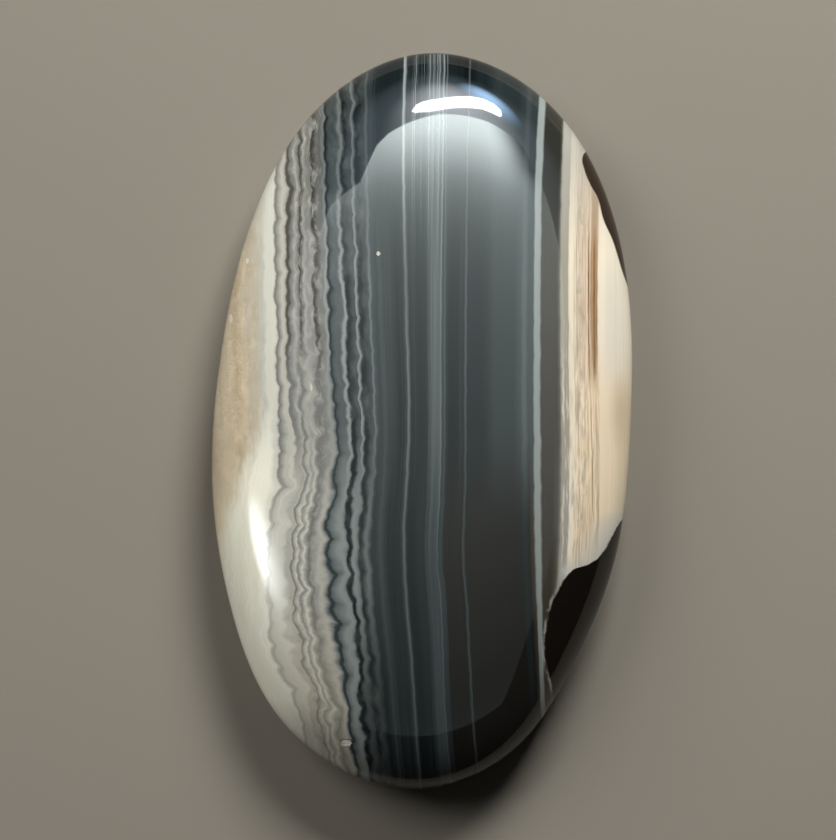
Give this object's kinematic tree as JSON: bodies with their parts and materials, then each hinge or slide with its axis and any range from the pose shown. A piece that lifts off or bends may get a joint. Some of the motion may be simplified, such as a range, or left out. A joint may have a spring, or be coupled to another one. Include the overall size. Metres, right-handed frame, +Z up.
{
  "type": "sulemani agate cabochon",
  "caption": "Polished free-form oval cabochon of black, grey and cream banded agate with a domed top and a flat back.",
  "frame": {"origin": "middle of the flat back, below the middle of the outline", "axes": "+Y along the length, parallel to the bands; +X across the bands from the tan side to the cream and brown side; +Z up through the dome"},
  "size_m": [0.024, 0.042, 0.0074],
  "materials": {
    "polished_agate": "opaque to faintly translucent banded agate, lapped and polished to a wet gloss"
  },
  "bodies": {
    "root": {"stone": "polished_agate"}
  },
  "joints": []
}
